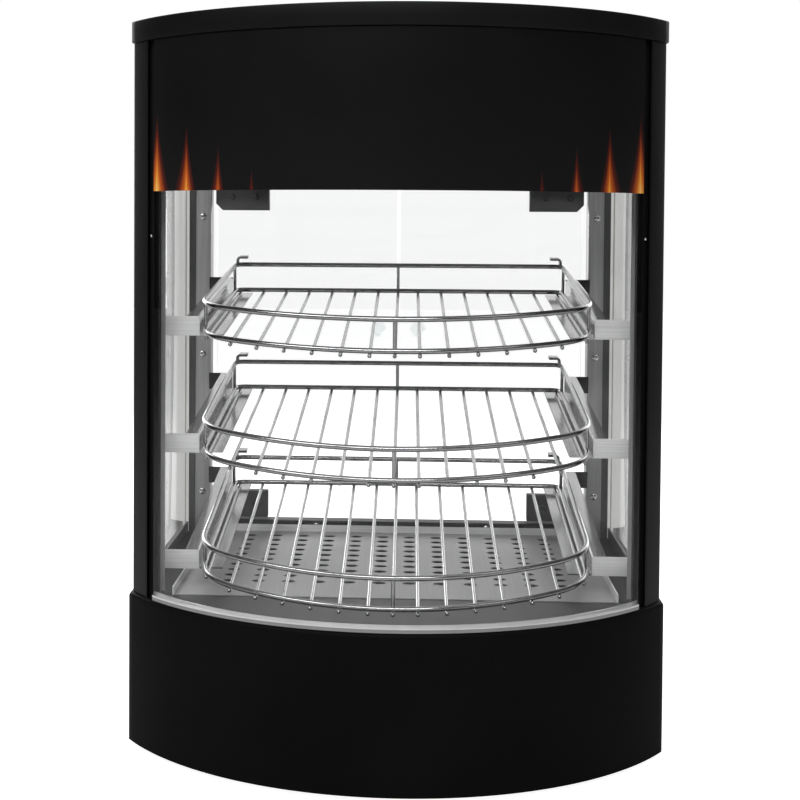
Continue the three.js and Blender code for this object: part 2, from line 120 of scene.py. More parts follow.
class Finish:
    """A procedural material under construction."""

    def __init__(self, name):
        self.material = bpy.data.materials.new(name)
        self.material.use_nodes = True
        self.tree = self.material.node_tree
        self.tree.nodes.clear()

    def node(self, kind, settings=None, inputs=(), output=0):
        """Makes a node: settings first, then the values or links of its sockets."""
        made = self.tree.nodes.new(kind)
        for key, value in (settings or {}).items():
            if key == "stops":
                ramp = made.color_ramp
                while len(ramp.elements) < len(value):
                    ramp.elements.new(0.5)
                for element, (position, colour) in zip(ramp.elements, value):
                    element.position = position
                    element.color = (*colour, 1.0)
            else:
                setattr(made, key, value)
        pairs = inputs.items() if isinstance(inputs, dict) else enumerate(inputs)
        for key, value in pairs:
            if isinstance(value, Value):
                self.tree.links.new(value.socket, made.inputs[key])
            else:
                made.inputs[key].default_value = value
        return Value(self, made.outputs[output])

    def place(self):
        """Object coordinates as (x, y, z) values and as one vector."""
        vector = self.node("ShaderNodeTexCoord", output=3)
        split = self.tree.nodes.new("ShaderNodeSeparateXYZ")
        self.tree.links.new(vector.socket, split.inputs[0])
        return vector, [Value(self, split.outputs[i]) for i in range(3)]

    def noise(self, scale, stretch=(1, 1, 1), detail=3.0, roughness=0.5):
        vector, _ = self.place()
        mapped = self.node("ShaderNodeMapping", inputs={"Vector": vector, "Scale": stretch})
        return self.node("ShaderNodeTexNoise",
                         inputs={"Vector": mapped, "Scale": scale, "Detail": detail, "Roughness": roughness})

    def bump(self, height, distance, strength=1.0):
        return self.node("ShaderNodeBump",
                         inputs={"Height": height, "Distance": distance, "Strength": strength})

    def mix_colour(self, factor, first, second):
        made = self.tree.nodes.new("ShaderNodeMix")
        made.data_type = "RGBA"
        for socket, value in ((made.inputs[0], factor), (made.inputs[6], first), (made.inputs[7], second)):
            if isinstance(value, Value):
                self.tree.links.new(value.socket, socket)
            else:
                socket.default_value = value if isinstance(value, float) else (*value, 1.0)
        return Value(self, made.outputs[2])

    def add_colour(self, first, second):
        made = self.tree.nodes.new("ShaderNodeMix")
        made.data_type = "RGBA"
        made.blend_type = "ADD"
        made.inputs[0].default_value = 1.0
        for socket, value in ((made.inputs[6], first), (made.inputs[7], second)):
            if isinstance(value, Value):
                self.tree.links.new(value.socket, socket)
            else:
                socket.default_value = (*value, 1.0)
        return Value(self, made.outputs[2])

    def surface(self, **inputs):
        """A Principled surface straight to the output."""
        named = {key.replace("_", " "): value for key, value in inputs.items()}
        if isinstance(named.get("Base Color"), tuple):
            named["Base Color"] = (*named["Base Color"], 1.0)
        shader = self.node("ShaderNodeBsdfPrincipled", inputs=named)
        return self.output(shader)

    def output(self, shader):
        self.node_output = self.tree.nodes.new("ShaderNodeOutputMaterial")
        self.tree.links.new(shader.socket, self.node_output.inputs[0])
        return self.material


# ---- finishes ----------------------------------------------------------------------------
BLACK_SHEEN = 0.1
GLASS_F0 = 0.02                          # reflectance of one glass face looked at square on


def powder_coat(name, shade=0.0075, rough=0.4, sheen=BLACK_SHEEN):
    f = Finish(name)
    grain = f.noise(1500, detail=2.0)
    cloud = f.noise(9, detail=4.0)
    low, high = (shade * 0.86,) * 3, (shade * 1.15, shade * 1.15, shade * 1.2)
    colour = f.mix_colour(cloud.between(0.3, 0.7), low, high)
    roughness = rough - 0.04 + cloud * 0.05 + grain * 0.05
    return f.surface(Base_Color=colour, Roughness=roughness, Normal=f.bump(grain, 0.00006, 0.5),
                     Specular_IOR_Level=sheen)


def brushed_steel(name, along="x", shade=0.56, rough=0.3, metallic=0.8, fine=1500.0):
    """Stainless sheet with fine brush lines along one axis and faint handling marks."""
    f = Finish(name)
    long = 14.0
    stretch = {"x": (long, fine, fine), "y": (fine, long, fine), "z": (fine, fine, long)}[along]
    lines = f.noise(1.0, stretch, detail=2.0)
    smear = f.noise(16, detail=3.0)
    colour = f.mix_colour(lines.between(0.3, 0.7), (shade * 0.9,) * 3, (shade * 1.08,) * 3)
    roughness = rough - 0.06 + lines * 0.1 + smear * 0.1
    return f.surface(Base_Color=colour, Metallic=metallic, Roughness=roughness,
                     Normal=f.bump(lines, 0.000008, 0.4))


def bright_chrome(name, shade=0.8, rough=0.07, metallic=1.0):
    f = Finish(name)
    haze = f.noise(60, detail=3.0)
    colour = f.mix_colour(haze.between(0.25, 0.75), (shade * 0.93,) * 3, (shade,) * 3)
    return f.surface(Base_Color=colour, Metallic=metallic, Roughness=rough + haze * 0.06)


def clear_glass(name, tint=(0.994, 0.996, 0.995), rough=0.01):
    """Thin clear sheet: what is behind shows through, and grazing angles mirror."""
    f = Finish(name)
    through = f.node("ShaderNodeBsdfTransparent", inputs=[(*tint, 1.0)])
    mirror = f.node("ShaderNodeBsdfGlossy", inputs={"Color": (1, 1, 1, 1), "Roughness": rough})
    grazing = f.node("ShaderNodeLayerWeight", inputs=[0.5], output=1)
    reflectance = grazing ** 5.0 * (1.0 - GLASS_F0) + GLASS_F0
    return f.output(f.node("ShaderNodeMixShader", inputs=[reflectance, through, mirror]))


def moulded(name, colour, rough=0.4, grain=2500, depth=0.00003, **more):
    f = Finish(name)
    fine = f.noise(grain, detail=2.0)
    cloud = f.noise(25, detail=2.0)
    dark = tuple(c * 0.9 for c in colour)
    shade = f.mix_colour(cloud.between(0.3, 0.7), dark, colour)
    return f.surface(Base_Color=shade, Roughness=rough - 0.03 + fine * 0.06,
                     Normal=f.bump(fine, depth, 0.5), **more)


def satin_grey(name, shade, rough=0.42, metallic=0.6):
    f = Finish(name)
    fine = f.noise(1.0, (20, 800, 800), detail=2.0)
    cloud = f.noise(14, detail=3.0)
    colour = f.mix_colour(cloud.between(0.3, 0.7), (shade * 0.88,) * 3, (shade * 1.1,) * 3)
    return f.surface(Base_Color=colour, Metallic=metallic, Roughness=rough - 0.05 + fine * 0.1,
                     Normal=f.bump(fine, 0.00003, 0.3))


FLAME_GLOW = [(0.0, (0, 0, 0)), (0.22, (0.09, 0.006, 0.001)), (0.5, (0.55, 0.10, 0.008)),
              (0.76, (0.98, 0.40, 0.04)), (1.0, (1.0, 0.82, 0.40))]
FLAME_PITCH = 25.0                       # mm from one flame of the border to the next
FLAME_HALF = 12.0                        # mm, half the width of a flame at its foot
FLAME_HEIGHT = 62.0                      # mm, the outermost flames
FLAME_REACH = (50.0, 190.0)              # mm from the middle: where the border starts and is full height


def flame_print(name):
    """Satin black header with a plain border of equal flames, taller towards both ends."""
    f = Finish(name)
    _, (x, _, z) = f.place()
    cloud = f.noise(11, detail=3.0).between(0.3, 0.7)
    black = f.mix_colour(cloud, (0.0055, 0.0055, 0.0058), (0.0072, 0.0072, 0.0075))
    out = (x / MM).math("ABSOLUTE", 0.0)
    up = (z - HEADER_LO.z) / (FLAME_HEIGHT * MM)
    aside = out.math("PINGPONG", FLAME_PITCH / 2) / FLAME_HALF
    strength = out.between(*FLAME_REACH) - up - aside ** 0.7
    glow = f.node("ShaderNodeValToRGB", {"stops": FLAME_GLOW}, inputs=[strength])
    grain = f.noise(1500, detail=2.0)
    return f.surface(Base_Color=f.add_colour(black, glow), Roughness=grain * 0.06 + 0.34,
                     Specular_IOR_Level=BLACK_SHEEN, Normal=f.bump(grain, 0.00004, 0.4))


BLACK = powder_coat("black_powder_coat")
BLACK_BASE = powder_coat("black_base_coat", shade=0.005, rough=0.5, sheen=0.03)
HEADER_PRINT = flame_print("flame_header_print")
STEEL_X = brushed_steel("brushed_steel_across", "x")
BRIGHT_STEEL = brushed_steel("bright_bracket_steel", "y", shade=0.42, rough=0.14, metallic=1.0)
# Near-white, almost non-metallic steel for the front bracket feet and the floor plate rims: painted light on
# parts of the same stainless.
PAINTED_LIGHT_STEEL = brushed_steel("painted_light_bracket_steel", "x", shade=1.0, rough=0.36, metallic=0.05)
STEEL_Z = brushed_steel("brushed_steel_upright", "z", shade=0.6, rough=0.36, metallic=0.45)
FLOOR_STEEL = brushed_steel("floor_plate_steel", "y", shade=0.46, rough=0.44, metallic=0.55, fine=3200.0)
CHROME = bright_chrome("bright_chrome")
# Chrome whitened past real chrome so the channel lips read as a highlight: painted highlight.
TRIM_HIGHLIGHT_CHROME = bright_chrome("trim_chrome_painted_highlight", shade=0.95, rough=0.16, metallic=0.5)
WIRE_CHROME = bright_chrome("wire_chrome", shade=0.42, rough=0.14)
# Darker chrome for the channel's lower front wall, the same part as the lip: painted dark reflection.
CHANNEL_SHADE_CHROME = bright_chrome("channel_chrome_painted_shade", shade=0.32, rough=0.16)
GLASS = clear_glass("clear_glass")
ACRYLIC = clear_glass("clear_acrylic", tint=(0.93, 0.95, 0.95), rough=0.04)
DECK_GREY = satin_grey("deck_grey", 0.022)
# Dark steel for the side glass channel; on the rear bracket feet it is painted shade.
DARK_STEEL_AND_SHADE = satin_grey("dark_steel", 0.055, 0.38, 0.8)
CLAMP_STEEL = satin_grey("clamp_steel", 0.12, 0.36, 0.7)
# Dark grey sheet for the side face of each upright's fold: painted shade.
FOLD_SHADE_STEEL = satin_grey("fold_painted_shade", 0.16, 0.4, 0.6)
SILL_STEEL = satin_grey("sill_steel", 0.025, 0.5, 0.6)
SHEATH = satin_grey("heater_sheath", 0.09, 0.5, 0.7)
GALVANISED = satin_grey("galvanised_plate", 0.35, 0.5, 0.9)
# Near-black plate for the heat shield under the floor, so the slots read dark: painted shade beneath the floor
# plate.
UNDERFLOOR_SHADE = satin_grey("underfloor_painted_shade", 0.02, 0.7, 0.3)
RUBBER = moulded("black_rubber", (0.005, 0.005, 0.005), 0.8, 1200, 0.00008, Specular_IOR_Level=0.15)
PLASTIC = moulded("black_moulding", (0.016, 0.016, 0.017), 0.36)
NYLON = moulded("white_nylon", (0.62, 0.61, 0.58), 0.45)
CERAMIC = moulded("glazed_ceramic", (0.78, 0.75, 0.68), 0.3, 400, 0.00004)
AMBER = moulded("amber_lens", (0.95, 0.28, 0.02), 0.16, 300, 0.00002)
# Pale seal finish with emission: these strips glow though they are no lamp, which is painted light.
GLOWING_SEAL = moulded("pale_seal_painted_glow", (0.9, 0.9, 0.88), 0.5, 900, 0.00002, Emission_Color=(1.0, 1.0, 0.98, 1.0),
               Emission_Strength=0.28)
MARKING = moulded("white_marking", (0.78, 0.78, 0.76), 0.5)


# ---- mesh helpers ------------------------------------------------------------------------
def finish_piece(name, bm, material, body="root", stands_for=(), sharp=35.0):
    """Turns a bmesh into a piece that rides on a body."""
    bmesh.ops.remove_doubles(bm, verts=bm.verts, dist=1e-7)
    mesh = bpy.data.meshes.new(name)
    bm.to_mesh(mesh)
    bm.free()
    mesh.materials.append(material)
    mesh.shade_smooth()
    mesh.set_sharp_from_angle(angle=math.radians(sharp))
    made = bpy.data.objects.new(name, mesh)
    bpy.context.scene.collection.objects.link(made)
    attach(made, body)
    if stands_for:
        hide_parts(*stands_for)
    return made


def bevel(bm, edges, width, segments=2):
    bmesh.ops.bevel(bm, geom=list(edges), offset=width, segments=segments, profile=0.5,
                    affect="EDGES", material=-1, clamp_overlap=True)


def add_block(bm, lo, hi, round_off=0.0, segments=2):
    """A box between two corners, with its edges rounded off."""
    part = bmesh.new()
    bmesh.ops.create_cube(part, size=1.0)
    lo, hi = Vector(lo), Vector(hi)
    bmesh.ops.scale(part, vec=hi - lo, verts=part.verts)
    bmesh.ops.translate(part, vec=(lo + hi) / 2, verts=part.verts)
    if round_off:
        bevel(part, part.edges, round_off, segments)
    absorb(bm, part)


def absorb(bm, part, matrix=None):
    """Adds one bmesh to another and frees it."""
    if matrix is not None:
        bmesh.ops.transform(part, matrix=matrix, verts=part.verts)
    carrier = bpy.data.meshes.new("carrier")
    part.to_mesh(carrier)
    part.free()
    bm.from_mesh(carrier)
    bpy.data.meshes.remove(carrier)


def add_turned(bm, profile, matrix=Matrix(), steps=32):
    """A turned solid about +Z from [radius, height] points, then moved by the matrix."""
    part = bmesh.new()
    verts = [part.verts.new((r, 0.0, z)) for r, z in profile]
    edges = [part.edges.new(pair) for pair in zip(verts, verts[1:])]
    bmesh.ops.spin(part, geom=verts + edges, cent=(0, 0, 0), axis=(0, 0, 1), dvec=(0, 0, 0),
                   angle=math.tau, steps=steps, use_merge=True)
    bmesh.ops.remove_doubles(part, verts=part.verts, dist=1e-6)
    bmesh.ops.recalc_face_normals(part, faces=part.faces)
    absorb(bm, part, matrix)


def facing_back(x, y, z):
    """Turns +Z to +Y and moves it: for things that stick out of the back."""
    return Matrix.Translation((x, y, z)) @ Matrix.Rotation(-math.pi / 2, 4, "X")


def facing_front(x, y, z):
    return Matrix.Translation((x, y, z)) @ Matrix.Rotation(math.pi / 2, 4, "X")


def bow_y(x, radius):
    return BOW_Y - math.sqrt(radius * radius - x * x)


def bow_edge(bm, half, radius, z, steps=ARC_STEPS):
    """An arc of edges along the bow from -half to +half; returns its verts in order."""
    start = bm.verts.new((-half, bow_y(half, radius), z))
    bmesh.ops.spin(bm, geom=[start], cent=(0, BOW_Y, z), axis=(0, 0, 1), dvec=(0, 0, 0),
                   angle=2 * math.asin(half / radius), steps=steps)
    return sorted(bm.verts, key=lambda v: v.co.x)


def case_face(half, radius, rear, z):
    """A flat face: bowed front, straight sides and back."""
    bm = bmesh.new()
    arc = bow_edge(bm, half, radius, z)
    right = bm.verts.new((half, rear, z))
    left = bm.verts.new((-half, rear, z))
    bm.edges.new((arc[-1], right))
    bm.edges.new((right, left))
    bm.edges.new((left, arc[0]))
    bmesh.ops.contextual_create(bm, geom=bm.edges)
    bmesh.ops.recalc_face_normals(bm, faces=bm.faces)
    if bm.faces and list(bm.faces)[0].normal.z < 0:
        bmesh.ops.reverse_faces(bm, faces=bm.faces)
    return bm


def bow_strip(outer, inner, half_outer, half_inner, z):
    """A flat face between two arcs of the bow."""
    bm = bmesh.new()
    first = bow_edge(bm, half_outer, outer, z)
    kept = set(first)
    second_bm = bmesh.new()
    bow_edge(second_bm, half_inner, inner, z)
    absorb(bm, second_bm)
    rest = sorted((v for v in bm.verts if v not in kept), key=lambda v: v.co.x)
    bm.edges.new((first[0], rest[0]))
    bm.edges.new((first[-1], rest[-1]))
    bmesh.ops.contextual_create(bm, geom=bm.edges)
    if list(bm.faces)[0].normal.z < 0:
        bmesh.ops.reverse_faces(bm, faces=bm.faces)
    return bm


def raise_face(bm, height):
    """Extrudes the flat faces of a bmesh upwards into a closed solid."""
    grown = bmesh.ops.extrude_face_region(bm, geom=list(bm.faces), use_keep_orig=True)
    moved = [g for g in grown["geom"] if isinstance(g, bmesh.types.BMVert)]
    bmesh.ops.translate(bm, vec=(0, 0, height), verts=moved)
    bmesh.ops.recalc_face_normals(bm, faces=bm.faces)
    return bm


def edges_at(bm, z, tolerance=1e-5):
    return [e for e in bm.edges if all(abs(v.co.z - z) < tolerance for v in e.verts)]


def rounded(points, radii, closed=False, steps=8):
    """A path through the points with each corner turned to an arc of the given radius."""
    points = [Vector(p) for p in points]
    count = len(points)
    path = []
    for i, point in enumerate(points):
        if radii[i] <= 0 or (not closed and i in (0, count - 1)):
            path.append(point)
            continue
        before = (points[i - 1] - point).normalized()
        after = (points[(i + 1) % count] - point).normalized()
        half = before.angle(after) / 2
        reach = radii[i] / math.tan(half)
        centre = point + (before + after).normalized() * (radii[i] / math.sin(half))
        start, end = point + before * reach, point + after * reach
        for k in range(steps + 1):
            t = k / steps
            spoke = (start - centre).normalized().slerp((end - centre).normalized(), t)
            path.append(centre + spoke.normalized() * radii[i])
    return path


def add_sheet(bm, path, thickness, y0, y1):
    """Bent sheet: a path in the XZ plane given a thickness and drawn out from y0 to y1."""
    part = bmesh.new()
    near, far = [], []
    for i, point in enumerate(path):
        ahead = path[min(i + 1, len(path) - 1)] - path[max(i - 1, 0)]
        out = Vector((-ahead.z, 0, ahead.x)).normalized() * (thickness / 2)
        near.append(part.verts.new((point.x + out.x, y0, point.z + out.z)))
        far.append(part.verts.new((point.x - out.x, y0, point.z - out.z)))
    part.faces.new(near + far[::-1])
    grown = bmesh.ops.extrude_face_region(part, geom=list(part.faces), use_keep_orig=True)
    moved = [g for g in grown["geom"] if isinstance(g, bmesh.types.BMVert)]
    bmesh.ops.translate(part, vec=(0, y1 - y0, 0), verts=moved)
    bmesh.ops.recalc_face_normals(part, faces=part.faces)
    absorb(bm, part)


def add_wire(bm, path, radius, closed=False, sides=12):
    """A round wire along a path, with closed ends."""
    data = bpy.data.curves.new("wire", "CURVE")
    data.dimensions = "3D"
    data.bevel_depth = radius
    data.bevel_resolution = max(1, sides // 4 - 1)
    data.use_fill_caps = True
    spline = data.splines.new("POLY")
    spline.points.add(len(path) - 1)
    for point, co in zip(spline.points, path):
        point.co = (*co, 1.0)
    spline.use_cyclic_u = closed
    carrier = bpy.data.objects.new("wire", data)
    bpy.context.scene.collection.objects.link(carrier)
    bpy.context.view_layer.update()
    mesh = bpy.data.meshes.new_from_object(carrier.evaluated_get(bpy.context.evaluated_depsgraph_get()))
    part = bmesh.new()
    part.from_mesh(mesh)
    bmesh.ops.remove_doubles(part, verts=part.verts, dist=1e-7)
    bmesh.ops.recalc_face_normals(part, faces=part.faces)
    bpy.data.objects.remove(carrier)
    bpy.data.curves.remove(data)
    bpy.data.meshes.remove(mesh)
    absorb(bm, part)


def add_pan_screw(bm, matrix, radius=2.6 * MM):
    """A pan-head screw with a cross recess hinted by a raised ring, pointing along +Z."""
    profile = [(0, -0.4 * MM), (radius, -0.4 * MM), (radius, 0.35 * MM), (radius * 0.9, 0.9 * MM),
               (radius * 0.62, 1.35 * MM), (radius * 0.3, 1.5 * MM), (radius * 0.26, 0.8 * MM), (0, 0.8 * MM)]
    add_turned(bm, profile, matrix, steps=20)


# ---- base --------------------------------------------------------------------------------
def case_outline(bm, half, radius, rear, z, inset):
    """A closed ring of verts in the case's plan shape, moved inwards by the inset."""
    half, radius, rear = half - inset, radius - inset, rear - inset
    edge = math.asin(half / radius)
    ring = []
    for k in range(ARC_STEPS + 1):
        a = -edge + 2 * edge * k / ARC_STEPS
        ring.append(bm.verts.new((radius * math.sin(a), BOW_Y - radius * math.cos(a), z)))
    for x, y in ((half, 0.0), (half, rear), (0.0, rear), (-half, rear), (-half, 0.0)):
        ring.append(bm.verts.new((x, y, z)))
    return ring


def make_base():
    """Bent-sheet housing: skirt, rounded shoulder and a top flange with a wide opening."""
    shell = bmesh.new()
    shoulder, wall, flange = 3 * MM, 1.5 * MM, 45 * MM
    top, foot = BASE_HI.z, BASE_LO.z
    section = [(0.0, foot + 0.4 * MM), (0.0, top - shoulder)]
    for k in range(1, 6):
        a = math.pi / 2 * k / 5
        section.append((shoulder * (1 - math.cos(a)), top - shoulder * (1 - math.sin(a))))
    section += [(flange, top), (flange, top - wall), (wall, top - wall),
                (wall, foot + 0.4 * MM), (wall / 2, foot)]
    rings = [case_outline(shell, BASE_HI.x, BASE_R, BASE_HI.y, z, inset) for inset, z in section]
    for ring, following in zip(rings, rings[1:] + rings[:1]):
        for k in range(len(ring)):
            n = (k + 1) % len(ring)
            shell.faces.new((ring[k], ring[n], following[n], following[k]))
    bmesh.ops.recalc_face_normals(shell, faces=shell.faces)
    finish_piece("base_housing", shell, BLACK_BASE, stands_for=["base_shell"])


SLOT_PITCH_X = 23.4 * MM
SLOT_PITCH_Y = 20.0 * MM
SLOT_FRONT = -44 * MM
SLOT_ROWS = 10


def make_deck_and_floor():
    """The grey strip behind the window, and the slotted floor plate with its turned-up rims."""
    deck = bmesh.new()
    chord = DECK_HI.y
    half = DECK_HI.x
    arc = bow_edge(deck, half, BOW_Y - DECK_LO.y, DECK_LO.z)
    right = deck.verts.new((half, chord, DECK_LO.z))
    left = deck.verts.new((-half, chord, DECK_LO.z))
    for pair in ((arc[-1], right), (right, left), (left, arc[0])):
        deck.edges.new(pair)
    bmesh.ops.contextual_create(deck, geom=deck.edges)
    raise_face(deck, DECK_HI.z - DECK_LO.z)
    finish_piece("front_deck_strip", deck, DECK_GREY, stands_for=["front_deck"])

    plate = bmesh.new()
    top = FLOOR_LO.z + 1.2 * MM
    sheet, lip = 0.5 * MM, 1.2 * MM
    edge = [plate.verts.new((x, y, top)) for x, y in ((FLOOR_LO.x, FLOOR_LO.y), (FLOOR_HI.x, FLOOR_LO.y),
                                                      (FLOOR_HI.x, FLOOR_HI.y), (FLOOR_LO.x, FLOOR_HI.y))]
    for i in range(4):
        plate.edges.new((edge[i], edge[(i + 1) % 4]))
    for column in range(12):
        for row in range(SLOT_ROWS):
            place = Matrix.Translation(((column - 5.5) * SLOT_PITCH_X, SLOT_FRONT + row * SLOT_PITCH_Y, top))
            lens = [plate.verts.new(place @ Vector((x, y, 0))) for x, y in lens_outline()]
            for i in range(len(lens)):
                plate.edges.new((lens[i], lens[(i + 1) % len(lens)]))
    bmesh.ops.triangle_fill(plate, edges=plate.edges, use_beauty=True, normal=(0, 0, 1))
    raise_face(plate, -sheet)
    finish_piece("perforated_floor", plate, FLOOR_STEEL, stands_for=["floor_plate"])
    rims = bmesh.new()
    for lo, hi in (
        ((FLOOR_LO.x, FLOOR_LO.y, FLOOR_LO.z), (FLOOR_LO.x + lip, FLOOR_HI.y, FLOOR_HI.z)),
        ((FLOOR_HI.x - lip, FLOOR_LO.y, FLOOR_LO.z), (FLOOR_HI.x, FLOOR_HI.y, FLOOR_HI.z)),
        ((FLOOR_LO.x, FLOOR_HI.y - lip, FLOOR_LO.z), (FLOOR_HI.x, FLOOR_HI.y, FLOOR_HI.z)),
    ):
        add_block(rims, lo, hi, 0.3 * MM, 1)
    # The rims take the whitened steel so their upright faces read bright: painted light.
    finish_piece("floor_plate_rims", rims, PAINTED_LIGHT_STEEL)


def lens_outline(half_width=5.6 * MM, half_height=4.6 * MM, steps=6):
    """A rounded slot: two arcs that meet at its ends."""
    front = [(half_width * (2 * k / steps - 1), -half_height * (1 - (2 * k / steps - 1) ** 2) ** 0.7)
             for k in range(steps)]
    return front + [(-x, -y) for x, y in front]


CHANNEL_WIDTH = 8 * MM
HIGHLIGHT_BAND = 1.5 * MM                    # the top band of the channel's front wall, whitened as a painted highlight


def make_glass_channel():
    """A bowed U channel: lips in chrome whitened as a painted highlight, and a lower front wall in darker
    chrome as a painted dark reflection.
    """
    wall = 0.8 * MM
    outer_r = BOW_Y - CHANNEL_LO.y
    inner_r = outer_r - CHANNEL_WIDTH
    half = CHANNEL_HI.x
    height = CHANNEL_HI.z - CHANNEL_LO.z
    bright = height - HIGHLIGHT_BAND
    inset = wall * 1.02
    trim = bmesh.new()
    for radius, z0, z1, thick in ((outer_r, bright, height, wall), (inner_r + wall, 0.0, height, wall),
                                  (outer_r - inset, 0.0, 1.4 * MM, CHANNEL_WIDTH - 2 * inset)):
        lip = bow_strip(radius, radius - thick, half, half, CHANNEL_LO.z + z0)
        raise_face(lip, z1 - z0)
        bevel(lip, edges_at(lip, CHANNEL_LO.z + z1), 0.35 * MM, 2)
        absorb(trim, lip)
    finish_piece("glass_channel_trim", trim, TRIM_HIGHLIGHT_CHROME, stands_for=["glass_channel"])
    # The lower front wall in darker chrome than the lip above it: painted dark reflection on one chrome wall.
    band = bow_strip(outer_r, outer_r - wall, half, half, CHANNEL_LO.z)
    raise_face(band, bright - 0.02 * MM)
    finish_piece("glass_channel_shaded_skirt", band, CHANNEL_SHADE_CHROME)


# ---- window, header and lid --------------------------------------------------------------
def make_front():
    """The bowed window, the header over it and the lid."""
    window = bow_strip(GLASS_R, GLASS_R - 4 * MM, GLASS_HI.x, GLASS_HI.x, GLASS_LO.z)
    raise_face(window, GLASS_HI.z - GLASS_LO.z)
    finish_piece("window_glass", window, GLASS, stands_for=["front_glass"])

    header = bow_strip(BOW_R, BOW_R - 1.4 * MM, HEADER_HI.x, HEADER_HI.x, HEADER_LO.z)
    raise_face(header, HEADER_HI.z - HEADER_LO.z)
    bevel(header, edges_at(header, HEADER_LO.z), 0.3 * MM, 2)
    finish_piece("header_fascia", header, HEADER_PRINT, stands_for=["header_panel"])

    lid = case_face(LID_HI.x, LID_R, LID_HI.y, LID_LO.z)
    raise_face(lid, LID_HI.z - LID_LO.z)
    bevel(lid, edges_at(lid, LID_HI.z), 1.2 * MM, 3)
    bevel(lid, edges_at(lid, LID_LO.z), 0.6 * MM, 2)
    finish_piece("lid_cap", lid, BLACK, stands_for=["lid"])


# ---- posts and back frame ----------------------------------------------------------------
def add_outline(bm, points, z0, z1, side=1, round_off=0.0):
    """A vertical bar from its plan outline, mirrored for the left side."""
    part = bmesh.new()
    verts = [part.verts.new((side * x * MM, y * MM, z0)) for x, y in points]
    part.faces.new(verts)
    raise_face(part, z1 - z0)
    if round_off:
        tall = [e for e in part.edges if abs(e.verts[0].co.z - e.verts[1].co.z) > 1 * MM]
        bevel(part, tall, round_off, 2)
    absorb(bm, part)


# plan sizes of the posts in millimetres from the middle of the case
FACE_END = 183.3                         # where the bowed face of a front post stops
REBATE, REBATE_BACK = 190, 194           # the step that holds the side glass
GASKET_OUT, GASKET_STEP, GASKET_IN = 183.0, 178.4, 174.8
UPRIGHT_SCREWS_Z = (401.5, 278, 154)


